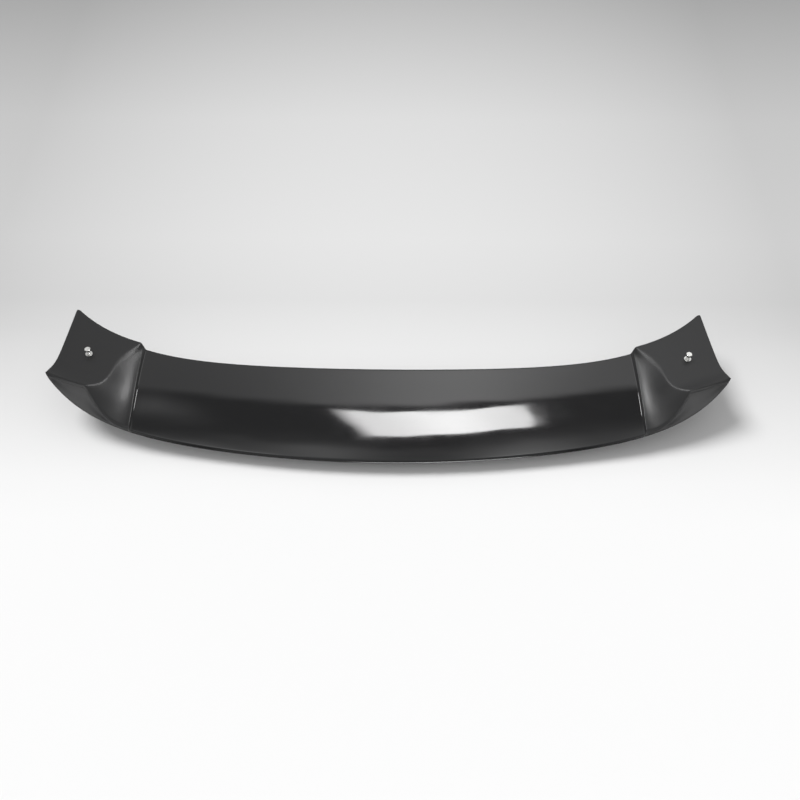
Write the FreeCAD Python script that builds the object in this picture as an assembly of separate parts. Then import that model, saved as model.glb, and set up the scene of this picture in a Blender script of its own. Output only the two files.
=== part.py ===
import FreeCAD, Part
import math
import os

# Boot-lid spoiler as fitted. X runs across the car, Y forward, Z up.
# The origin is midway between the two bolts, on the plane of the foot pads. All sizes are in millimetres.

# Plan of the moulding
half_width = 600.0            # front corner of a foot from the middle of the car
end_flare = 27.0              # how much further out the rear tip of a foot lies
end_hollow = 12.0             # how far the outer edge of a foot is hollowed before the tip
end_hollow_power = 9.0
end_corner = 9.0              # rounding of the front corner of a foot, in plan
front_middle_y = -13.0        # leading edge at the middle
front_bow = 33.0              # even bow of the leading edge
front_sweep = 93.0            # forward sweep gathered near the ends
front_sweep_power = 6.0
rear_middle_y = -191.5        # trailing edge at the middle
rear_bow = 88.0
rear_sweep = 54.0
rear_sweep_power = 11.0
foot_width = 143.0            # crease between blade and foot to the front corner

# Heights of the upper surface above the pads
front_middle_z = 27.0
front_corner_z = 5.0
front_fall_power = 4.0
rear_middle_z = 71.0
rear_tip_z = 3.0
rear_fall_power = 5.8
crown = 7.0                   # fullness of the upper surface in the front third of the blade
crown_at_tip = 2.5
tip_turn_down = 6.0           # fall of the rear tip, where it follows the lip

# Blade section
front_thickness = 7.0
rear_thickness = 4.5
underside_sag = 7.5           # depth of the underside below its chord
nose_round = 2.5              # bulge of the leading edge
tail_round = 1.2              # bulge of the trailing edge and of the rear face

# Feet
crease_step = 5.0             # how far a foot stands proud of the blade's underside at the front
crease_rear_step = 2.5        # and at the rear
foot_proud = 4.0              # how far the front of a foot stands ahead of the blade
foot_sunk = 0.4               # how far the top of a foot lies below the blade's top at the crease
wall_front_width = 6.0        # foot wall at the leading edge, from the crease to the pad
wall_rear_width = 115.0       # foot wall at the rear
wall_bend_power = 1.5         # bend of the line where wall and pad meet
wall_wave = 9.0               # wave of that line
wall_foot_slope = 0.8         # steepness where the wall leaves the pad
rear_lean = 0.75              # forward lean of the rear face for each unit of height
foot_blank_depth = 15.0       # material below the pads before they are shaped to the lid

# How finely the lofts follow the form
blade_sections = 4            # on each side of the middle
blade_point_count = 5
foot_sections = 15
foot_point_count = 13

# Boot lid that the pads are shaped to
lid_edge_radius = 78.0
lip_length = 32.0             # from the start of the lid's rounded edge to the rear face
lid_edge_turn = 21.0          # turn of the lid's rear edge from X, in degrees
lid_edge_x = 560.0            # rear end of the pad beside the wall
lid_edge_y = -76.0

# Fasteners
bolt_inset = 45.0             # bolt axis from the front corner, across the car
thread_radius = 3.0
pitch_radius = 2.675
bolt_length = 25.0
bolt_showing = 10.5           # shank left out of the pad
head_across_flats = 10.0
head_height = 4.0
head_chamfer = 0.6
point_chamfer = 0.8
washer_radius = 6.5
washer_thickness = 1.6
washer_clearance = 0.2
washer_to_shank = 0.3
insert_radius = 4.5
insert_length = 14.0
insert_groove_depth = 0.6
insert_groove_width = 2.5
thread_clearance = 0.05
insert_clearance = 0.05
pocket_relief = 2.0

crease_station = 1.0 - foot_width / half_width
bolt_x = half_width - bolt_inset


def mix(a, b, share):
    return a + (b - a) * share


def front_y(station):
    return front_middle_y + front_bow * station**2 + front_sweep * station**front_sweep_power


def rear_y(station):
    return rear_middle_y + rear_bow * station**2 + rear_sweep * station**rear_sweep_power


def front_z(station):
    return mix(front_middle_z, front_corner_z, station**front_fall_power)


def rear_z(station):
    return mix(rear_middle_z, rear_tip_z, station**rear_fall_power)


def chord(station):
    return math.hypot(end_flare * station**3, front_y(station) - rear_y(station))


def across_x(station, share):
    return station * half_width + station**3 * end_flare * share


def point(side, station, share, height):
    """A point of a section: share 0 is the blade's leading edge, share 1 the trailing edge."""
    along_y = mix(front_y(station), rear_y(station), share)
    return FreeCAD.Vector(side * across_x(station, share), along_y, height)


def upper_z(station, share):
    fullness = mix(crown, crown_at_tip, station**front_fall_power)
    hump = 6.75 * share * (1.0 - share) ** 2
    turned = tip_turn_down * station**16 * share**10
    return mix(front_z(station), rear_z(station), share) + fullness * hump - turned


def blade_under_z(station, share):
    front = front_z(station) - front_thickness
    rear = rear_z(station) - rear_thickness
    return mix(front, rear, share) - 4.0 * underside_sag * share * (1.0 - share)


def foot_under_z(station, share):
    """Underside of a foot blank: level at the crease, zero where wall and pad meet, then below the pad."""
    width = mix(wall_front_width, wall_rear_width, share**wall_bend_power)
    width += wall_wave * math.sin(2.0 * math.pi * share)
    across = 1.0 - (across_x(station, share) - across_x(crease_station, share)) / width
    top = blade_under_z(crease_station, share) - mix(crease_step, crease_rear_step, share)
    if across < 0.0:
        return foot_blank_depth * math.tanh(top * wall_foot_slope * across / foot_blank_depth)
    start = across**3 - 2.0 * across**2 + across
    return top * (wall_foot_slope * start + 3.0 * across**2 - 2.0 * across**3)


def section(side, station, under_z, under_points, proud, sunk):
    """Closed section wire: underside, rear face, upper surface and rounded leading edge."""
    length = chord(station)
    start = -proud / length
    nose = start + nose_round / length
    tail = 1.0 - rear_lean * (upper_z(station, 1.0) - under_z(station, 1.0)) / length
    steps = [mix(nose, tail, i / (under_points - 1)) for i in range(under_points)]
    under = [point(side, station, s, under_z(station, max(s, 0.0))) for s in steps]
    upper = [point(side, station, s, upper_z(station, s) - sunk) for s in (1.0, 0.9, 0.75, 0.5, 0.25, nose)]
    rear_share = (tail + 1.0) * 0.5 + tail_round / length
    rear_middle = point(side, station, rear_share, (under[-1].z + upper[0].z) * 0.5)
    front_middle = point(side, station, start, (under[0].z + upper[-1].z) * 0.5)
    underside = Part.BSplineCurve()
    underside.interpolate(under)
    upperside = Part.BSplineCurve()
    upperside.interpolate(upper)
    edges = [
        underside.toShape(),
        Part.Arc(under[-1], rear_middle, upper[0]).toShape(),
        upperside.toShape(),
        Part.Arc(upper[-1], front_middle, under[0]).toShape(),
    ]
    return Part.Wire(edges)


def blade():
    wires = []
    for i in range(-blade_sections, blade_sections + 1):
        station = crease_station * abs(i) / blade_sections
        wires.append(section(math.copysign(1.0, i), station, blade_under_z, blade_point_count, 0.0, 0.0))
    return Part.makeLoft(wires, True)


def lid_form():
    """The boot lid under one foot: flat, then rounded down at its rear edge."""
    turn = math.radians(lid_edge_turn)
    along = FreeCAD.Vector(math.cos(turn), math.sin(turn), 0)
    back = FreeCAD.Vector(math.sin(turn), -math.cos(turn), 0)
    down = FreeCAD.Vector(0, 0, -1)
    edge = FreeCAD.Vector(lid_edge_x, lid_edge_y, 0)
    start = edge - back * lip_length - along * foot_width
    middle = start + back * (lid_edge_radius * math.sin(math.pi / 4))
    middle += down * (lid_edge_radius * (1.0 - math.cos(math.pi / 4)))
    end = start + back * lid_edge_radius + down * lid_edge_radius
    front = start - back * (2.0 * chord(1.0))
    rounded = Part.Arc(start, middle, end).toShape()
    below = front + down * lid_edge_radius
    sides = Part.makePolygon([end, below, front, start]).Edges
    face = Part.Face(Part.Wire([rounded] + sides))
    return face.extrude(along * (3.0 * foot_width))


def end_trim():
    """Everything outside the hollowed outer edge and rounded front corner of one foot."""
    low = -2.0 * foot_blank_depth
    start = -foot_proud / chord(1.0)
    first_share = start + end_corner / chord(1.0)
    edge = []
    for i in range(9):
        share = mix(first_share, 1.0, i / 8.0)
        hollow = end_hollow * (share - share**end_hollow_power)
        edge.append(point(1.0, 1.0, share, low) - FreeCAD.Vector(hollow, 0, 0))
    corner = point(1.0, 1.0, start, low)
    inner = point(1.0, 1.0 - end_corner / half_width, start, low)
    rounded = Part.Arc(inner, (inner + corner * 2.0 + edge[0]) * 0.25, edge[0]).toShape()
    hollowed = Part.BSplineCurve()
    hollowed.interpolate(edge)
    room = foot_width
    away = edge[-1] + FreeCAD.Vector(room, -end_flare, 0)
    ahead = inner + FreeCAD.Vector(0, room, 0)
    beyond = FreeCAD.Vector(away.x, ahead.y, low)
    rest = Part.makePolygon([edge[-1], away, beyond, ahead, inner]).Edges
    face = Part.Face(Part.Wire([rounded, hollowed.toShape()] + rest))
    return face.extrude(FreeCAD.Vector(0, 0, 2.0 * rear_middle_z))


def foot():
    wires = []
    for i in range(foot_sections):
        station = mix(crease_station, 1.0, i / (foot_sections - 1))
        wires.append(section(1.0, station, foot_under_z, foot_point_count, foot_proud, foot_sunk))
    return Part.makeLoft(wires, True).cut(lid_form()).cut(end_trim())


def upright(radius, length, x, z):
    return Part.makeCylinder(radius, length, FreeCAD.Vector(x, 0, z))


def spoiler_body():
    right = foot()
    left = right.mirror(FreeCAD.Vector(0, 0, 0), FreeCAD.Vector(1, 0, 0))
    body = blade().fuse([right, left])
    pocket_depth = insert_length + pocket_relief
    for x in (-bolt_x, bolt_x):
        body = body.cut(upright(insert_radius + insert_clearance, pocket_depth, x, 0.0))
    return body.removeSplitter()


def mounting_bolt(x):
    seat_z = -bolt_showing
    corner_radius = head_across_flats / math.sqrt(3.0)
    corners = []
    for i in range(7):
        angle = math.radians(60.0 * i)
        flat_point = FreeCAD.Vector(math.cos(angle), math.sin(angle), 0) * corner_radius
        corners.append(flat_point + FreeCAD.Vector(x, 0, seat_z - head_height))
    hexagon = Part.Face(Part.makePolygon(corners)).extrude(FreeCAD.Vector(0, 0, head_height))
    top_radius = head_across_flats / 2.0
    wide_radius = top_radius + head_height * (corner_radius - top_radius) / head_chamfer
    head_top = FreeCAD.Vector(x, 0, seat_z - head_height)
    head = hexagon.common(Part.makeCone(top_radius, wide_radius, head_height, head_top))
    shank_length = bolt_showing - washer_thickness - washer_to_shank
    thread_length = bolt_length - shank_length - point_chamfer
    thread_z = seat_z + shank_length
    shank = upright(thread_radius, shank_length, x, seat_z)
    thread = upright(pitch_radius, thread_length, x, thread_z)
    tip = FreeCAD.Vector(x, 0, thread_z + thread_length)
    end = Part.makeCone(pitch_radius, pitch_radius - point_chamfer, point_chamfer, tip)
    return head.fuse([shank, thread, end]).removeSplitter()


def flat_washer(x):
    ring = upright(washer_radius, washer_thickness, x, -washer_thickness)
    return ring.cut(upright(thread_radius + washer_clearance, washer_thickness, x, -washer_thickness))


def threaded_insert(x):
    sleeve = upright(insert_radius, insert_length, x, 0.0)
    groove_z = (insert_length - insert_groove_width) / 2.0
    groove = upright(insert_radius, insert_groove_width, x, groove_z)
    groove = groove.cut(upright(insert_radius - insert_groove_depth, insert_groove_width, x, groove_z))
    bore = upright(pitch_radius + thread_clearance, insert_length, x, 0.0)
    return sleeve.cut(groove).cut(bore)


def pair(make):
    return Part.makeCompound([make(-bolt_x), make(bolt_x)])


os.makedirs("parts", exist_ok=True)
nodes = {
    "spoiler_body": spoiler_body(),
    "mounting_bolts": pair(mounting_bolt),
    "flat_washers": pair(flat_washer),
    "threaded_inserts": pair(threaded_insert),
}
for name, shape in nodes.items():
    shape.exportStep("parts/" + name + ".step")
    print(name, len(shape.Solids), "solids", round(shape.Volume), "mm3", shape.isValid())
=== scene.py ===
import math
import bpy
import numpy as np
from mathutils import Matrix, Vector


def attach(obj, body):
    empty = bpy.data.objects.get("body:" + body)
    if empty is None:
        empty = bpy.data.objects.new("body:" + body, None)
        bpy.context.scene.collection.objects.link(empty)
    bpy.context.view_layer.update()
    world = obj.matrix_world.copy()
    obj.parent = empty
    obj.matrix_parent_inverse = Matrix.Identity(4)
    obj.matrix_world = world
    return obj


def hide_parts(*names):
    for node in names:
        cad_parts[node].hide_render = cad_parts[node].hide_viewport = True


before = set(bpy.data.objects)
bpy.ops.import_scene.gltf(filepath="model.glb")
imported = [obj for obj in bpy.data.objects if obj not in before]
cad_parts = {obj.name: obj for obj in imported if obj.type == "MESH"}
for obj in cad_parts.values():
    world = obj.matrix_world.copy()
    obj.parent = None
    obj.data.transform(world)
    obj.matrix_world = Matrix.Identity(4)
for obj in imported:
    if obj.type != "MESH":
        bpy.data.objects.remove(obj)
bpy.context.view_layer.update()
mm = 0.001


def linear(hexColour):  # sRGB hex to the linear values that Blender works in
    parts = [int(hexColour[i:i + 2], 16) / 255.0 for i in (1, 3, 5)]
    values = [v / 12.92 if v <= 0.04045 else ((v + 0.055) / 1.055) ** 2.4 for v in parts]
    return (*values, 1.0)


def addNode(tree, kind, settings=None, inputs=None, links=None):  # a node, its settings, values and links
    node = tree.nodes.new(kind)
    for key, value in (settings or {}).items():
        setattr(node, key, value)
    for key, value in (inputs or {}).items():
        node.inputs[key].default_value = value
    for key, source in (links or {}).items():
        tree.links.new(source, node.inputs[key])
    return node


def newMaterial(name):
    material = bpy.data.materials.new(name)
    material.use_nodes = True
    material.node_tree.nodes.clear()
    return material, material.node_tree


def putMesh(name, points, faces, materials, smooth=True):  # points in mm, faces as lists of point numbers
    mesh = bpy.data.meshes.new(name)
    mesh.from_pydata((np.asarray(points) * mm).tolist(), [], list(faces))
    for material in materials:
        mesh.materials.append(material)
    mesh.polygons.foreach_set("use_smooth", np.full(len(mesh.polygons), smooth))
    mesh.update()
    piece = bpy.data.objects.new(name, mesh)
    bpy.context.collection.objects.link(piece)
    return piece


def gridFaces(rows, columns, wrapRows=False, wrapColumns=True):  # quads between neighbours on a grid
    row = np.arange(rows if wrapRows else rows - 1)[:, None]
    column = np.arange(columns if wrapColumns else columns - 1)[None, :]
    nextRow = ((row + 1) % rows) * columns
    nextColumn = (column + 1) % columns
    row = row * columns
    corners = [row + column, row + nextColumn, nextRow + nextColumn, nextRow + column]
    return np.stack(corners, -1).reshape(-1, 4)


def creaseSharp(piece, degrees):  # edges that turn more than this stay crisp
    piece.data.set_sharp_from_angle(angle=math.radians(degrees))


# The moulding, in mm: X across the car, Y forward, Z up from the pads
moulding = {
    "halfWidth": 600.0, "endFlare": 27.0, "footWidth": 143.0,
    "endHollow": 12.0, "hollowPower": 9.0, "hollowSpread": 8,  # hollow of a foot's outer edge
    "frontMiddleY": -13.0, "frontBow": 33.0, "frontSweep": 93.0, "frontPower": 6.0,
    "rearMiddleY": -191.5, "rearBow": 88.0, "rearSweep": 54.0, "rearPower": 11.0,
    "frontMiddleZ": 27.0, "frontCornerZ": 5.0, "frontFall": 4.0,
    "rearMiddleZ": 71.0, "rearTipZ": 3.0, "rearFall": 5.8, "crown": 7.0, "tipCrown": 2.5,
    "tipTurnDown": 6.0, "turnDownPower": 16, "turnDownRear": 10,  # the tip follows the lip
    "frontThick": 7.0, "rearThick": 4.5, "sag": 7.5,
    "step": 5.0, "rearStep": 2.5, "stepWidth": 5.0, "footProud": 4.0, "proudWidth": 11.0,
    "wallFront": 6.0, "wallRear": 115.0, "wallBend": 1.5, "wallWave": 12.0, "wallSlope": 1.45,
    "wallFrontRound": 4.0, "wallRearRound": 0.5, "wallRoundFade": 1.3,  # fillet between wall and pad
    "blankDepth": 15.0, "rearLean": 0.75, "bladeLean": 0.35, "rearBulge": 0.8, "rearPull": 0.35,
    "lipBead": 3.2, "beadFade": 1.6, "lipRecess": 1.8, "recessFrom": 9.0, "recessOver": 9.0, "recessFade": 0.6,
    "lidRadius": 78.0, "lipLength": 32.0, "lidTurn": 21.0, "lidEdgeX": 560.0, "lidEdgeY": -76.0,
    "frontRound": 3.2, "rearRound": 2.6, "endRound": 2.2, "cornerRound": 9.0,
    "frontRoundShare": 0.48, "rearRoundShare": 0.45, "thinnest": 0.0025,  # limits where the section is low
    "wallShine": 0.12, "wallShineHeight": 14.0,
    "underPoints": 98, "cornerPoints": 7, "facePoints": 20, "frontFacePoints": 10, "lipCrowding": 1.5,
    "creaseReach": 13.0, "endReach": 9.0,
    "endSteps": (7.5, 6.2, 5.0, 4.0, 3.1, 2.3, 1.6, 1.0, 0.55, 0.22, 0.05),  # last stations from the end
}
m = moulding
creaseAt = 1.0 - m["footWidth"] / m["halfWidth"]
humpScale = 27.0 / 4.0  # brings the top of s (1 - s)^2 to 1


def mix(a, b, share):
    return a + (b - a) * share


def smoothStep(value):
    v = np.clip(value, 0.0, 1.0)
    return v * v * (3.0 - 2.0 * v)


def proudShare(station):  # 0 on the blade, 1 on a foot, with a filleted step between them
    return smoothStep((station - creaseAt) * m["halfWidth"] / m["stepWidth"] + 0.5)


def frontY(station):  # bow plus sweep: y = middle + bow s^2 + sweep s^6
    return m["frontMiddleY"] + m["frontBow"] * station**2 + m["frontSweep"] * station ** m["frontPower"]


def rearY(station):
    return m["rearMiddleY"] + m["rearBow"] * station**2 + m["rearSweep"] * station ** m["rearPower"]


def frontZ(station):
    return mix(m["frontMiddleZ"], m["frontCornerZ"], station ** m["frontFall"])


def rearZ(station):
    return mix(m["rearMiddleZ"], m["rearTipZ"], station ** m["rearFall"])


def chordOf(station):
    return np.hypot(m["endFlare"] * station**3, frontY(station) - rearY(station))


def acrossX(station, share):
    return station * m["halfWidth"] + station**3 * m["endFlare"] * share


def upperZ(station, share):  # chord line, a crown that is fullest in the front third, and the tip turned down
    fullness = mix(m["crown"], m["tipCrown"], station ** m["frontFall"])
    turnDown = m["tipTurnDown"] * station ** m["turnDownPower"] * np.clip(share, 0.0, 1.0) ** m["turnDownRear"]
    hump = fullness * humpScale * share * (1.0 - share) ** 2
    return mix(frontZ(station), rearZ(station), share) + hump - turnDown


def bladeUnderZ(station, share):  # chord line less a parabolic sag
    line = mix(frontZ(station) - m["frontThick"], rearZ(station) - m["rearThick"], share)
    return line - 4.0 * m["sag"] * share * (1.0 - share)


def wallWidth(share):  # crease to pad edge, in mm: widens to the rear along a waved line
    t = np.clip(share, 0.0, 1.0)
    return mix(m["wallFront"], m["wallRear"], t ** m["wallBend"]) + m["wallWave"] * np.sin(2.0 * np.pi * t)


def footUnderZ(station, share):  # Hermite wall from the crease to the pad's edge, then down below the pad
    fromCrease = acrossX(station, share) - acrossX(creaseAt, share)
    across = np.minimum(1.0 - fromCrease / wallWidth(share), 1.0)
    top = bladeUnderZ(creaseAt, share) - mix(m["step"], m["rearStep"], share)
    below = m["blankDepth"] * np.tanh(top * m["wallSlope"] * across / m["blankDepth"])
    rise = m["wallSlope"] * (across**3 - 2.0 * across**2 + across) + 3.0 * across**2 - 2.0 * across**3
    return np.where(across < 0.0, below, top * rise)


def planXY(station, share):
    t = np.clip(share, 0.0, 1.0)
    hollow = m["endHollow"] * station ** m["hollowSpread"] * (t - t ** m["hollowPower"])
    return acrossX(station, share) - hollow, mix(frontY(station), rearY(station), share)


def lidZ(x, y):  # boot lid under a foot: level, then rounded down towards its rear edge
    turn = math.radians(m["lidTurn"])
    back = (x - m["lidEdgeX"]) * math.sin(turn) - (y - m["lidEdgeY"]) * math.cos(turn) + m["lipLength"]
    back = np.clip(back, 0.0, m["lidRadius"])
    return np.sqrt(m["lidRadius"] ** 2 - back**2) - m["lidRadius"]


def underZ(station, share):  # blade and foot undersides joined by the step, then shaped to the lid
    proud = proudShare(station)
    raw = mix(bladeUnderZ(station, share), footUnderZ(station, share), proud)
    lid = lidZ(*planXY(station, share))
    fillet = mix(m["wallFrontRound"], m["wallRearRound"], smoothStep(share * m["wallRoundFade"]))
    near = np.clip(0.5 + 0.5 * (raw - lid) / fillet, 0.0, 1.0)
    return mix(lid, raw, near) + fillet * near * (1.0 - near)


def halfStations():  # close together at the crease and the outer end, wide along the blade
    reach = m["creaseReach"]
    blade = np.linspace(0.0, creaseAt - (reach + 1.0) / m["halfWidth"], 60)
    crease = creaseAt + np.linspace(-reach, reach, 44) / m["halfWidth"]
    foot = np.linspace(crease[-1], 1.0 - m["endReach"] / m["halfWidth"], 72)[1:]
    edge = 1.0 - np.array(m["endSteps"]) / m["halfWidth"]
    return np.concatenate([blade, crease, foot, edge])


def curveCorner(start, corner, end, count):  # quadratic arc that rounds a corner of the section
    q = np.linspace(0.0, 1.0, count)[None, :, None]
    return (1 - q) ** 2 * start[:, None] + 2 * (1 - q) * q * corner[:, None] + q**2 * end[:, None]


def sectionRings(station):  # closed sections as (share, height) for each station
    s = station[:, None]
    chord = chordOf(s)
    proud = proudShare(s)
    ahead = smoothStep((s - creaseAt) * m["halfWidth"] / m["proudWidth"] + 0.25)
    frontEdge = -m["footProud"] * ahead / chord  # the foot stands ahead of the blade
    lean = mix(m["bladeLean"], m["rearLean"], proud)
    toEnd = np.clip(m["cornerRound"] - (1.0 - s) * m["halfWidth"], 0.0, m["cornerRound"])
    pullIn = (m["cornerRound"] - np.sqrt(m["cornerRound"] ** 2 - toEnd**2)) / chord
    frontEdge = frontEdge + pullIn
    rearTop = 1.0 - m["rearPull"] * pullIn
    rearUnder = rearTop.copy()
    for _ in range(12):  # settles where the rear face, which leans forward, meets the underside
        drop = upperZ(s, rearTop) - underZ(s, rearUnder)
        rearUnder = mix(rearUnder, rearTop - lean * drop / chord, 0.7)
    frontHeight = upperZ(s, frontEdge) - underZ(s, frontEdge)
    rearHeight = upperZ(s, rearTop) - underZ(s, rearUnder)
    frontRadius = np.minimum(m["frontRound"], m["frontRoundShare"] * frontHeight)
    rearRadius = np.minimum(m["rearRound"], m["rearRoundShare"] * rearHeight)
    q = np.linspace(0.0, 1.0, m["underPoints"])[None, :]
    underShare = mix(frontEdge + frontRadius / chord, rearUnder - rearRadius / chord, q)
    upperShare = mix(rearTop - rearRadius / chord, frontEdge + frontRadius / chord, q)
    under = np.stack([underShare, underZ(s, underShare)], -1)
    upper = np.stack([upperShare, upperZ(s, upperShare)], -1)
    cornerRearUnder = np.concatenate([rearUnder, underZ(s, rearUnder)], -1)
    cornerRearTop = np.concatenate([rearTop, upperZ(s, rearTop)], -1)
    slant = cornerRearTop - cornerRearUnder
    length = np.hypot(slant[:, :1] * chord, slant[:, 1:])
    rearLow = cornerRearUnder + slant * rearRadius / length
    rearHigh = cornerRearTop - slant * rearRadius / length
    cornerFrontTop = np.concatenate([frontEdge, upperZ(s, frontEdge)], -1)
    cornerFrontUnder = np.concatenate([frontEdge, underZ(s, frontEdge)], -1)
    edgeRise = np.concatenate([np.zeros_like(frontRadius), frontRadius], -1)
    frontHigh = cornerFrontTop - edgeRise
    frontLow = cornerFrontUnder + edgeRise
    f = np.linspace(0.0, 1.0, m["facePoints"])[None, 1:-1, None] ** m["lipCrowding"]  # closer at the lip
    rearFace = mix(rearLow[:, None], rearHigh[:, None], f)
    f = f[..., 0]
    fromLip = f * length
    hollow = smoothStep((fromLip - m["lipBead"]) / m["beadFade"]) * smoothStep((1.0 - f) / m["recessFade"])
    deep = m["lipRecess"] * smoothStep((length - m["recessFrom"]) / m["recessOver"])  # behind the lip's bead
    rearFace[..., 0] += (4.0 * f * (1.0 - f) * m["rearBulge"] - hollow * deep) / chord
    f = np.linspace(0.0, 1.0, m["frontFacePoints"])[None, 1:-1, None]
    frontFace = mix(frontHigh[:, None], frontLow[:, None], f)
    count = m["cornerPoints"]
    ring = [
        under[:, :-1], curveCorner(under[:, -1], cornerRearUnder, rearLow, count),
        rearFace, curveCorner(rearHigh, cornerRearTop, upper[:, 0], count),
        upper[:, 1:-1], curveCorner(upper[:, -1], cornerFrontTop, frontHigh, count),
        frontFace, curveCorner(frontLow, cornerFrontUnder, under[:, 0], count)[:, :-1],
    ]
    ring = np.concatenate(ring, 1)
    middle = 0.5 * (upperZ(s, ring[..., 0]) + underZ(s, np.minimum(ring[..., 0], rearUnder)))
    inward = np.clip(1.0 - (1.0 - s) * m["halfWidth"] / m["endRound"], 0.0, 1.0)
    thin = np.sqrt(np.maximum(1.0 - inward**2, m["thinnest"]))  # the outer edge closes as a half round
    ring[..., 1] = mix(middle, ring[..., 1], thin)
    return ring


def spoilerBody(material):
    half = halfStations()
    ring = sectionRings(half)
    x, y = planXY(half[:, None], ring[..., 0])
    right = np.stack([x, y, ring[..., 1]], -1)
    left = right[:0:-1] * [-1.0, 1.0, 1.0]
    points = np.concatenate([left, right])
    rows, columns = points.shape[:2]
    faces = gridFaces(rows, columns)[:, ::-1]
    halfCorner = m["cornerPoints"] // 2
    shift = columns - halfCorner
    first = np.arange(columns // 2 - 1)  # each end is closed by a strip of quads from under to upper side
    low = (shift + first) % columns
    lowNext = (low + 1) % columns
    high = (shift - 1 - first) % columns
    highNext = (high - 1) % columns
    capLeft = np.stack([low, lowNext, highNext, high], -1)
    capRight = np.stack([low, high, highNext, lowNext], -1) + (rows - 1) * columns
    faces = np.concatenate([faces, capLeft, capRight]).tolist()
    piece = putMesh("spoilerShell", points.reshape(-1, 3), faces, [material])
    satin = proudShare(np.abs(np.concatenate([-half[:0:-1], half])))[:, None] * np.ones(columns)
    glossFrom = m["underPoints"] + halfCorner + m["cornerPoints"] + m["facePoints"]
    glossTo = columns - m["cornerPoints"] - (m["frontFacePoints"] - 2)
    satin[:, glossFrom:glossTo] = 0.0  # the upper side is gloss from end to end
    satin *= 1.0 - m["wallShine"] * smoothStep(points[..., 2] / m["wallShineHeight"])  # walls shine more than pads
    layer = piece.data.attributes.new("satin", "FLOAT", "POINT")
    layer.data.foreach_set("value", satin.astype(np.float32).ravel())
    print("shell", rows, "by", columns, "points")
    return piece


# Finish of the moulding, with patterns counted per metre and depths in mm
absFinish = {
    "colour": "#161617", "refraction": 1.53, "glossRough": (0.045, 0.09), "satinRough": 0.4,
    "smudges": 16.0,  # about 62 mm wide
    "ripples": (7.0, 22.0, 22.0), "rippleStrength": 0.2, "rippleDepth": 2.0,  # about 143 mm long, 45 mm wide
    "grains": 900.0, "grainStrength": 0.25, "grainDepth": 0.3,  # about 1.1 mm, drawn coarser than real grain
}


def mouldedAbs():  # black ABS, blow moulded: deep gloss with slow ripples, satin on the pads
    a = absFinish
    material, tree = newMaterial("black ABS, moulded gloss")
    place = addNode(tree, "ShaderNodeTexCoord")
    pad = addNode(tree, "ShaderNodeAttribute", {"attribute_name": "satin"})
    smudge = addNode(tree, "ShaderNodeTexNoise", inputs={"Scale": a["smudges"], "Detail": 4.0, "Roughness": 0.6},
                     links={"Vector": place.outputs["Object"]})
    clean, smeared = a["glossRough"]
    gloss = addNode(tree, "ShaderNodeMapRange",
                    inputs={"From Min": 0.35, "From Max": 0.7, "To Min": clean, "To Max": smeared},
                    links={"Value": smudge.outputs["Fac"]})
    rough = addNode(tree, "ShaderNodeMix", {"data_type": "FLOAT"}, {"B": a["satinRough"]},
                    {"Factor": pad.outputs["Fac"], "A": gloss.outputs["Result"]})
    along = addNode(tree, "ShaderNodeMapping", inputs={"Scale": a["ripples"]},
                    links={"Vector": place.outputs["Object"]})
    ripple = addNode(tree, "ShaderNodeTexNoise", inputs={"Scale": 1.0, "Detail": 1.0},
                     links={"Vector": along.outputs["Vector"]})
    grain = addNode(tree, "ShaderNodeTexNoise", inputs={"Scale": a["grains"], "Detail": 2.0},
                    links={"Vector": place.outputs["Object"]})
    slow = addNode(tree, "ShaderNodeBump",
                   inputs={"Strength": a["rippleStrength"], "Distance": a["rippleDepth"] * mm},
                   links={"Height": ripple.outputs["Fac"]})
    grainHeight = addNode(tree, "ShaderNodeMath", {"operation": "MULTIPLY"},
                          links={0: grain.outputs["Fac"], 1: pad.outputs["Fac"]})
    fine = addNode(tree, "ShaderNodeBump",
                   inputs={"Strength": a["grainStrength"], "Distance": a["grainDepth"] * mm},
                   links={"Height": grainHeight.outputs[0], "Normal": slow.outputs["Normal"]})
    shader = addNode(tree, "ShaderNodeBsdfPrincipled",
                     inputs={"Base Color": linear(a["colour"]), "IOR": a["refraction"]},
                     links={"Roughness": rough.outputs["Result"], "Normal": fine.outputs["Normal"]})
    addNode(tree, "ShaderNodeOutputMaterial", links={"Surface": shader.outputs["BSDF"]})
    return material


cloudsPerMetre = 700.0  # cloudy spots about 1.4 mm wide


def cloudyMetal(name, hexColour, roughness):  # plated or turned metal: bright glints broken by cloudy spots
    material, tree = newMaterial(name)
    place = addNode(tree, "ShaderNodeTexCoord")
    cloud = addNode(tree, "ShaderNodeTexNoise", inputs={"Scale": cloudsPerMetre, "Detail": 3.0},
                    links={"Vector": place.outputs["Object"]})
    rough = addNode(tree, "ShaderNodeMapRange",
                    inputs={"From Min": 0.3, "From Max": 0.7,
                            "To Min": roughness - 0.06, "To Max": roughness + 0.1},
                    links={"Value": cloud.outputs["Fac"]})
    shader = addNode(tree, "ShaderNodeBsdfPrincipled",
                     inputs={"Base Color": linear(hexColour), "Metallic": 1.0},
                     links={"Roughness": rough.outputs["Result"]})
    addNode(tree, "ShaderNodeOutputMaterial", links={"Surface": shader.outputs["BSDF"]})
    return material


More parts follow.
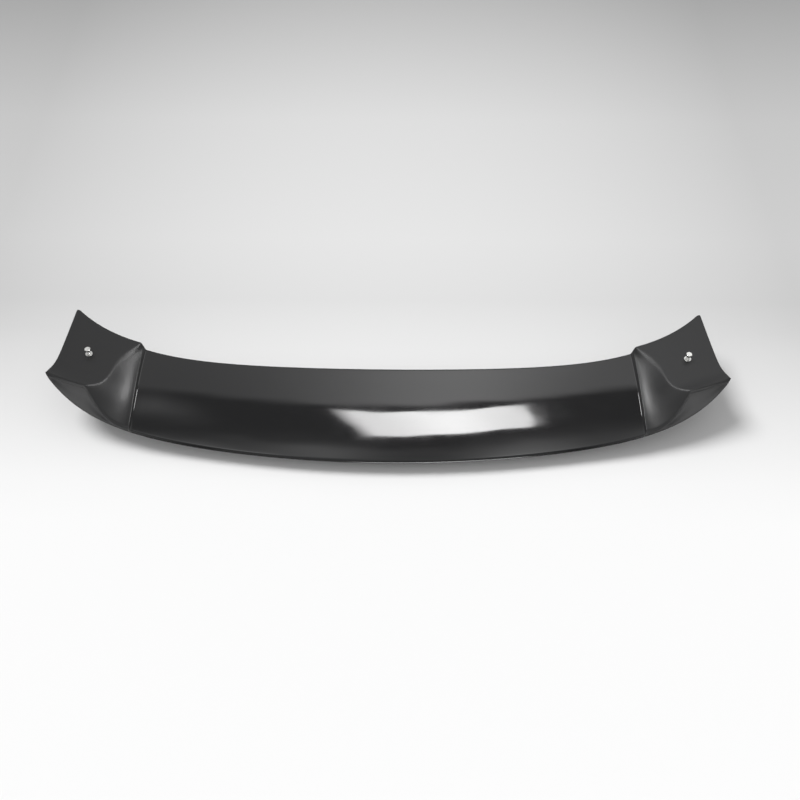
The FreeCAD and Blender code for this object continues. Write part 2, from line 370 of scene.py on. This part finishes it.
# Hexagon bolt, M6 by 25, left standing out of its pad; z runs down from the pad to the head
bolt = {
    "x": 555.0, "acrossFlats": 10.0, "headHeight": 4.0, "showing": 10.5, "length": 25.0,
    "crestRadius": 2.98, "rootRadius": 2.4, "pitch": 1.0, "faceRadius": 4.7,
    "seatFillet": 0.3, "cornerBreak": 0.12, "dish": 0.12, "discStart": 0.6, "discRings": 8,
    "coneStart": 0.1, "coneSlope": 1.75,  # cone that cuts the head's corners
    "headRows": (0.0, 0.03, 0.1, 0.2, 0.3, 0.42, 0.6, 0.9, 1.6, 2.6, 3.4, 3.8, 3.95),
    "ridgeSteep": 1.35, "ridgeSink": 0.15, "runOutFrom": 0.5, "runOutOver": 1.0,
    "tipLength": 0.8, "tipRadius": 2.0, "tipFull": 3.0,
    "around": 72, "rowsPerPitch": 8, "sharpTurn": 32.0,
}


def boltSurface():  # rings of radius r(angle, z): disc, hexagon cut by a cone, neck, then a helical ridge
    b = bolt
    angle = np.linspace(0.0, 2.0 * np.pi, b["around"], endpoint=False)[None, :]
    sector = (angle + np.pi / 6.0) % (np.pi / 3.0) - np.pi / 6.0
    hexagon = 0.5 * b["acrossFlats"] / np.cos(sector)
    hexagon = np.minimum(hexagon, 0.5 * b["acrossFlats"] / math.cos(math.pi / 6.0) - b["cornerBreak"])
    top, seat = -b["showing"] - b["headHeight"], -b["showing"]
    discRadius = np.linspace(b["discStart"], b["faceRadius"], b["discRings"])[:, None]
    disc = np.broadcast_to(discRadius, (b["discRings"], b["around"]))
    discZ = np.broadcast_to(top + b["dish"] * (1.0 - (discRadius / b["faceRadius"]) ** 2), disc.shape)
    headZ = top + np.array(b["headRows"])[:, None]
    cone = b["faceRadius"] + b["coneStart"] + (headZ - top) * b["coneSlope"]
    head = np.minimum(hexagon, cone)
    headZ = np.broadcast_to(headZ, head.shape)
    under = np.stack([hexagon[0] - b["cornerBreak"], np.full(b["around"], b["crestRadius"] + b["seatFillet"])])
    seatZ = np.full(under.shape, seat)
    rows = int(b["length"] / b["pitch"] * b["rowsPerPitch"])
    shankZ = (seat + np.linspace(b["seatFillet"], b["length"], rows))[:, None]
    wave = (shankZ / b["pitch"] - angle / (2.0 * np.pi)) % 1.0
    ridge = np.clip(b["ridgeSteep"] * (1.0 - np.abs(2.0 * wave - 1.0)) - b["ridgeSink"], 0.0, 1.0)
    runOut = smoothStep((shankZ - seat - b["runOutFrom"]) / b["runOutOver"])
    tip = np.clip((seat + b["length"] - shankZ) / b["tipLength"], 0.0, 1.0)
    thread = mix(b["crestRadius"], mix(b["rootRadius"], b["crestRadius"], ridge), runOut)
    thread = np.minimum(thread, mix(b["tipRadius"], b["tipFull"], tip))
    shankZ = np.broadcast_to(shankZ, thread.shape)
    radius = np.concatenate([disc, head, under, thread])
    height = np.concatenate([discZ, headZ, seatZ, shankZ])
    return np.stack([radius * np.cos(angle), radius * np.sin(angle), height], -1)


def mountingBolts(material):
    rings = boltSurface()
    rows, columns = rings.shape[:2]
    start = rings[0].mean(0)
    end = rings[-1].mean(0)
    one = np.concatenate([rings.reshape(-1, 3), [start, end]])
    loop = np.arange(columns)
    after = (loop + 1) % columns
    last = (rows - 1) * columns
    fanStart = np.stack([np.full(columns, rows * columns), after, loop], -1)
    fanEnd = np.stack([np.full(columns, rows * columns + 1), last + loop, last + after], -1)
    quads = gridFaces(rows, columns)
    points, faces = [], []
    for i, x in enumerate((-bolt["x"], bolt["x"])):
        points.append(one + [x, 0.0, 0.0])
        shift = i * len(one)
        faces += (quads + shift).tolist() + (fanStart + shift).tolist() + (fanEnd + shift).tolist()
    piece = putMesh("hexagonBolts", np.concatenate(points), faces, [material])
    creaseSharp(piece, bolt["sharpTurn"])
    print("bolts", len(faces), "faces")
    return piece


# Flat washer, stamped from strip, lying loose round the shank on the pad
washer = {"inner": 3.2, "outer": 6.5, "thick": 1.6, "edge": 0.28, "edgePoints": 5, "around": 96}


def flatWashers(material):  # rounded rectangle carried round the bolt axis
    w = washer
    turn = np.linspace(0.0, 0.5 * np.pi, w["edgePoints"])
    corner = np.stack([np.cos(turn), np.sin(turn)], -1) * w["edge"]
    inside, outside = w["inner"] + w["edge"], w["outer"] - w["edge"]
    low, high = -w["thick"] + w["edge"], -w["edge"]
    profile = np.concatenate([
        corner + [outside, high], corner[::-1] * [-1, 1] + [inside, high],
        corner * [-1, -1] + [inside, low], corner[::-1] * [1, -1] + [outside, low]])
    angle = np.linspace(0.0, 2.0 * np.pi, w["around"], endpoint=False)[:, None]
    radius = profile[None, :, 0]
    ring = np.stack([radius * np.cos(angle), radius * np.sin(angle),
                     np.broadcast_to(profile[None, :, 1], (w["around"], len(profile)))], -1)
    quads = gridFaces(w["around"], len(profile), wrapRows=True)[:, ::-1]
    one = ring.reshape(-1, 3)
    points = np.concatenate([one - [bolt["x"], 0.0, 0.0], one + [bolt["x"], 0.0, 0.0]])
    piece = putMesh("flatWashers", points, np.concatenate([quads, quads + len(one)]).tolist(), [material])
    print("washers", 2 * len(quads), "faces")
    return piece


# Camera in mm, degrees and pixels of the 800 px square frame; it sees as far as clipEnd, in metres
view = {
    "aimY": -74.0, "aimPixelX": 388.0, "aimPixelY": 388.0, "tilt": 52.0, "distance": 1800.0,
    "focalPixels": 995.0, "roll": 0.5, "frame": 800.0, "sensor": 36.0, "clipEnd": 100.0,
}


def placeCamera():
    tilt = math.radians(view["tilt"])
    forward = np.array([0.0, math.cos(tilt), math.sin(tilt)])
    upright = np.array([0.0, math.sin(tilt), -math.cos(tilt)])
    sideways = np.cross(forward, upright)
    roll = math.radians(view["roll"])
    right = sideways * math.cos(roll) + upright * math.sin(roll)
    upward = upright * math.cos(roll) - sideways * math.sin(roll)
    camera = bpy.data.cameras.new("camera")
    camera.sensor_width = view["sensor"]
    camera.lens = view["focalPixels"] / view["frame"] * view["sensor"]
    camera.shift_x = (view["frame"] / 2 - view["aimPixelX"]) / view["frame"]
    camera.shift_y = (view["aimPixelY"] - view["frame"] / 2) / view["frame"]
    camera.clip_end = view["clipEnd"]
    piece = bpy.data.objects.new("camera", camera)
    bpy.context.collection.objects.link(piece)
    spot = np.array([0.0, view["aimY"], 0.0]) - forward * view["distance"]
    matrix = np.eye(4)
    matrix[:3, 0], matrix[:3, 1], matrix[:3, 2], matrix[:3, 3] = right, upward, -forward, spot * mm
    piece.matrix_world = Matrix(matrix.tolist())
    bpy.context.scene.camera = piece


shell = spoilerBody(mouldedAbs())
bolts = mountingBolts(cloudyMetal("zinc plated steel, cold headed", "#efefec", 0.26))
washers = flatWashers(cloudyMetal("zinc plated strip, stamped", "#e4e4e2", 0.3))
dressed = (
    (shell, "spoiler_body", "black_plastic"),
    (bolts, "mounting_bolts", "zinc_steel"),
    (washers, "flat_washers", "washer_steel"),
)
for piece, nodeName, slotName in dressed:
    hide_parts(nodeName)
    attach(piece, "root")
inserts = bpy.data.objects["threaded_inserts"]
inserts.data.materials.clear()
inserts.data.materials.append(cloudyMetal("turned brass", "#b08d4a", 0.3))

# Studio in mm: a pale floor below, a pale board with painted shade behind the part's back, glowing panels and two
# suns
studio = {
    "floorZ": -26.0, "floorHalf": 20000.0, "floorStops": ((-20000.0, "#f0f0f0"), (20000.0, "#f0f0f0")),
    "boardZ": 94.0, "boardHalf": 1200.0, "boardFront": 1450.0, "boardRear": -850.0,
    # the board's colour steps are painted shade, darker towards its front end (+Y) where less light falls;
    # sideShade paints it darker towards both sides
    "boardPaintedShadeStops": ((-850.0, "#f2f2f2"), (-210.0, "#f1f1f1"), (-77.0, "#ececec"),
                   (95.0, "#e5e5e5"), (231.0, "#dadada"), (410.0, "#dddddd"),
                   (831.0, "#d5d5d5"), (1081.0, "#c7c7c7"), (1450.0, "#afafaf")),
    "sideShade": 0.22, "sideReach": 850.0, "shadeFromY": -300.0, "shadeToY": 150.0,
    "panelZ": -1950.0, "panelX": 1900.0, "panelFront": 2500.0, "panelRear": -1500.0,
    "roomDrop": 4.0, "roomPoints": 121, "edgeFade": 300.0, "baseGlow": 0.26,
    "windowCorners": ((255.0, 176.0), (-581.0, 179.0), (-659.0, -206.0), (123.0, -252.0)),
    "windowGlow": 17.0, "windowEdge": 0.16, "windowStart": 0.25,
    "windowEven": 0.9, "windowPeak": 0.3, "windowPeakAt": 0.58, "windowPeakSpread": 0.25,
    "bandX": -290.0, "bandLeft": 560.0, "bandRight": 400.0,
    "bandGlow": 1.85, "bandFloor": 0.62, "bandFall": 0.00016,
    "bandY": 275.0, "bandSkew": 0.0375, "bandDrop": 80.0, "bandDropX": 650.0,
    "bandSoftMiddle": 90.0, "bandSoftSide": 420.0, "bandSoftX": 1600.0, "bandSoftPower": 1.5,
    "peakFadeFrom": 620.0, "peakFadeOver": 780.0,
    "tailGlow": 0.85, "tailSpots": ((330.0, -560.0), (-650.0, -560.0)), "tailSpread": (250.0, 190.0),
    "rearGlow": 0.3, "rearFrom": 380.0, "rearOver": 120.0, "rearHalf": 900.0,
    "wallGlow": 2.0, "wallSpots": ((-700.0, -800.0), (760.0, -800.0)), "wallSpread": (230.0, 170.0),
    "sideGlow": 1.0, "sideSpots": ((880.0, -60.0),), "sideSpread": (80.0, 200.0),
    "keySpot": (4960.0, 2800.0, -8000.0), "keyLevel": 2.25, "keySoftness": 26.0,
    "topSpot": (-3000.0, 2500.0, 6000.0), "topLevel": 1.2, "topGlow": 2.4, "topFade": 0.35,
    "topPanels": (((2300.0, -1700.0, 1500.0), (2200.0, 1100.0)), ((-2500.0, 2700.0, 500.0), (2400.0, 800.0))),
    "backY": -2600.0, "backLow": -2100.0, "backHigh": -150.0, "backNear": 1300.0, "backFar": 4600.0,
    "backGlow": 3.3, "backFade": 0.3, "skyGlow": 0.64, "cameraSky": 0.86,
    "skyLevels": ((0.0, 0.56), (0.14, 0.54), (0.28, 0.46), (0.5, 0.6), (0.62, 0.66), (1.0, 0.6)),  # down to up
}


def palePlane(name, corners, stops, sideShade):  # plain sheet, seen from its front only; its colour follows the stops along its Y and is darkened towards its sides by sideShade, which on the board is painted shade
    material, tree = newMaterial(name + " paper")
    place = addNode(tree, "ShaderNodeTexCoord")
    parts = addNode(tree, "ShaderNodeSeparateXYZ", links={"Vector": place.outputs["Object"]})
    first, last = stops[0][0], stops[-1][0]
    along = addNode(tree, "ShaderNodeMapRange", inputs={"From Min": first * mm, "From Max": last * mm},
                    links={"Value": parts.outputs["Y"]})
    # colour steps along Y: even on the floor, painted shade on the board
    ramp = addNode(tree, "ShaderNodeValToRGB", links={"Fac": along.outputs["Result"]})
    marks = ramp.color_ramp.elements
    for spot, _ in stops[1:-1]:
        marks.new((spot - first) / (last - first))
    for mark, (_, hexColour) in zip(marks, stops):
        mark.color = linear(hexColour)
    reach = addNode(tree, "ShaderNodeMath", {"operation": "DIVIDE"}, {1: studio["sideReach"] * mm},
                    {0: parts.outputs["X"]})
    aside = addNode(tree, "ShaderNodeMath", {"operation": "MULTIPLY", "use_clamp": True},
                    links={0: reach.outputs[0], 1: reach.outputs[0]})
    ahead = addNode(tree, "ShaderNodeMapRange",
                    inputs={"From Min": studio["shadeFromY"] * mm, "From Max": studio["shadeToY"] * mm,
                            "To Max": sideShade},
                    links={"Value": parts.outputs["Y"]})
    shade = addNode(tree, "ShaderNodeMath", {"operation": "MULTIPLY"},
                    links={0: aside.outputs[0], 1: ahead.outputs["Result"]})
    # painted shade: the paper colour mixed towards black at the sides, more so ahead
    paperWithPaintedShade = addNode(tree, "ShaderNodeMix", {"data_type": "RGBA"}, {"B": (0.0, 0.0, 0.0, 1.0)},
                   {"Factor": shade.outputs[0], "A": ramp.outputs["Color"]})
    paper = addNode(tree, "ShaderNodeBsdfDiffuse", links={"Color": paperWithPaintedShade.outputs["Result"]})
    clear = addNode(tree, "ShaderNodeBsdfTransparent")
    behind = addNode(tree, "ShaderNodeNewGeometry")
    sheet = addNode(tree, "ShaderNodeMixShader",
                    links={0: behind.outputs["Backfacing"], 1: paper.outputs[0], 2: clear.outputs[0]})
    addNode(tree, "ShaderNodeOutputMaterial", links={"Surface": sheet.outputs[0]})
    piece = putMesh(name, np.array(corners), [[0, 1, 2, 3]], [material], smooth=False)
    piece.visible_glossy = piece.visible_diffuse = piece.visible_transmission = piece.visible_shadow = False


def glowPanel(name, corners, glow, count=33):  # bilinear sheet, as strong as glow says at each point
    u, v = np.meshgrid(np.linspace(0.0, 1.0, count), np.linspace(0.0, 1.0, count))
    c = np.array(corners, float)
    points = mix(mix(c[0], c[1], u[..., None]), mix(c[3], c[2], u[..., None]), v[..., None])
    material, tree = newMaterial(name + " diffuser")
    level = addNode(tree, "ShaderNodeAttribute", {"attribute_name": "glow"})
    light = addNode(tree, "ShaderNodeEmission", links={"Strength": level.outputs["Fac"]})
    addNode(tree, "ShaderNodeOutputMaterial", links={"Surface": light.outputs[0]})
    faces = gridFaces(count, count, wrapColumns=False).tolist()
    piece = putMesh(name, points.reshape(-1, 3), faces, [material], smooth=False)
    layer = piece.data.attributes.new("glow", "FLOAT", "POINT")
    layer.data.foreach_set("value", glow(u, v, points).astype(np.float32).ravel())
    piece.visible_camera = piece.visible_shadow = piece.visible_diffuse = False


def windowGlow(u, v, points):  # brightest past its middle, with one end drawn in softly
    t = studio
    peak = np.exp(-((u - t["windowPeakAt"]) / t["windowPeakSpread"]) ** 2)
    drawnIn = smoothStep(u / t["windowEdge"] + t["windowStart"])
    return t["windowGlow"] * drawnIn * (t["windowEven"] + t["windowPeak"] * peak)


def patches(x, y, spots, spread):  # round patches that fade as a bell
    return sum(np.exp(-((x - spot[0]) / spread[0]) ** 2 - ((y - spot[1]) / spread[1]) ** 2) for spot in spots)


def roomGlow(u, v, points):  # a band ahead that is brightest right of the middle, soft patches behind
    t = studio
    x, y = points[..., 0], points[..., 1]
    peak = np.exp(-((x - t["bandX"]) / np.where(x > t["bandX"], t["bandLeft"], t["bandRight"])) ** 2)
    drop = t["bandDrop"] * smoothStep((-x - t["bandDropX"]) / t["edgeFade"])
    past = y - t["bandY"] + t["bandSkew"] * x - drop
    soft = mix(t["bandSoftMiddle"], t["bandSoftSide"], np.abs(x / t["bandSoftX"]) ** t["bandSoftPower"])
    peak = peak * (1.0 - smoothStep((past - t["peakFadeFrom"]) / t["peakFadeOver"]))
    band = (t["bandFloor"] - t["bandFall"] * x + t["bandGlow"] * peak) * smoothStep(past / soft + 0.5)
    behind = smoothStep((-y - t["rearFrom"]) / t["rearOver"])
    behind = behind * smoothStep((t["rearHalf"] - np.abs(x)) / t["edgeFade"])
    tail = t["tailGlow"] * patches(x, y, t["tailSpots"], t["tailSpread"]) + t["rearGlow"] * behind
    walls = t["wallGlow"] * patches(x, y, t["wallSpots"], t["wallSpread"])
    side = t["sideGlow"] * patches(x, y, t["sideSpots"], t["sideSpread"])
    edge = smoothStep((t["panelX"] - np.abs(x)) / t["edgeFade"])
    return (t["baseGlow"] + band + tail + walls + side) * edge


def softEdge(share, width):  # 0 at both ends of a panel, 1 past the given width
    return smoothStep(share / width) * smoothStep((1.0 - share) / width)


def backGlow(u, v, points):  # fades at every edge
    return studio["backGlow"] * softEdge(u, studio["backFade"]) * softEdge(v, studio["backFade"])


def topGlow(u, v, points):  # fades at every edge to the level of the sky behind
    inner = softEdge(u, studio["topFade"]) * softEdge(v, studio["topFade"])
    return mix(studio["skyGlow"], studio["topGlow"], inner)


def sunLamp(name, spot, level, softness):  # even light with soft shadows, kept out of the reflections
    light = bpy.data.lights.new(name, "SUN")
    light.energy = level
    light.angle = math.radians(softness)
    lamp = bpy.data.objects.new(name, light)
    bpy.context.collection.objects.link(lamp)
    lamp.location = Vector(spot) * mm
    lamp.rotation_euler = (-Vector(spot)).to_track_quat("-Z", "Y").to_euler()
    lamp.visible_glossy = False


def facingCorners(spot, size):  # corners of a sheet that faces the part
    toward = -np.array(spot) / np.linalg.norm(spot)
    across = np.cross(toward, [0.0, 0.0, 1.0])
    across = across / np.linalg.norm(across) * 0.5 * size[0]
    upward = np.cross(across, toward)
    upward = upward / np.linalg.norm(upward) * 0.5 * size[1]
    return [np.array(spot) + a * across + b * upward for a, b in ((-1, -1), (1, -1), (1, 1), (-1, 1))]


def levelCorners(startX, endX, startY, endY, z):  # corners of a level sheet, in the order that gives its front
    return [(startX, startY, z), (endX, startY, z), (endX, endY, z), (startX, endY, z)]


def buildStudio():
    t = studio
    half, wide, far = t["floorHalf"], t["boardHalf"], t["panelX"]
    palePlane("floor", levelCorners(-half, half, -half, half, t["floorZ"]), t["floorStops"], 0.0)
    palePlane("backBoard", levelCorners(-wide, wide, t["boardFront"], t["boardRear"], t["boardZ"]),
              t["boardPaintedShadeStops"], t["sideShade"])
    glowPanel("windowPanel", [(x, y, t["panelZ"]) for x, y in t["windowCorners"]], windowGlow)
    roomZ = t["panelZ"] - t["roomDrop"]
    glowPanel("roomPanel", levelCorners(far, -far, t["panelRear"], t["panelFront"], roomZ),
              roomGlow, t["roomPoints"])
    for side in (1.0, -1.0):
        near, away = side * t["backNear"], side * t["backFar"]
        glowPanel("backPanel", [(away, t["backY"], t["backLow"]), (near, t["backY"], t["backLow"]),
                                (near, t["backY"], t["backHigh"]), (away, t["backY"], t["backHigh"])],
                  backGlow)
    for spot, size in t["topPanels"]:
        glowPanel("topPanel", facingCorners(spot, size), topGlow)
    sunLamp("shadowKey", t["keySpot"], t["keyLevel"], t["keySoftness"])
    sunLamp("topKey", t["topSpot"], t["topLevel"], t["keySoftness"])


def buildWorld():  # pale to the camera, and a dimmer room for everything else, by height
    world = bpy.data.worlds.new("studio")
    world.use_nodes = True
    tree = world.node_tree
    tree.nodes.clear()
    place = addNode(tree, "ShaderNodeTexCoord")
    parts = addNode(tree, "ShaderNodeSeparateXYZ", links={"Vector": place.outputs["Generated"]})
    height = addNode(tree, "ShaderNodeMapRange", inputs={"From Min": -1.0, "From Max": 1.0},
                     links={"Value": parts.outputs["Z"]})
    ramp = addNode(tree, "ShaderNodeFloatCurve", links={"Value": height.outputs["Result"]})
    curve = ramp.mapping.curves[0]
    levels = studio["skyLevels"]
    for spot, value in levels[1:-1]:
        curve.points.new(spot, value)
    curve.points[0].location, curve.points[-1].location = levels[0], levels[-1]
    ramp.mapping.update()
    path = addNode(tree, "ShaderNodeLightPath")
    level = addNode(tree, "ShaderNodeMix", {"data_type": "FLOAT"}, {"B": studio["cameraSky"]},
                    {"Factor": path.outputs["Is Camera Ray"], "A": ramp.outputs["Value"]})
    sky = addNode(tree, "ShaderNodeBackground", inputs={"Color": (1.0, 1.0, 1.0, 1.0)},
                  links={"Strength": level.outputs["Result"]})
    addNode(tree, "ShaderNodeOutputWorld", links={"Surface": sky.outputs[0]})
    bpy.context.scene.world = world


placeCamera()
buildStudio()
buildWorld()
bpy.context.scene.view_settings.view_transform = "Standard"
print("studio ready")
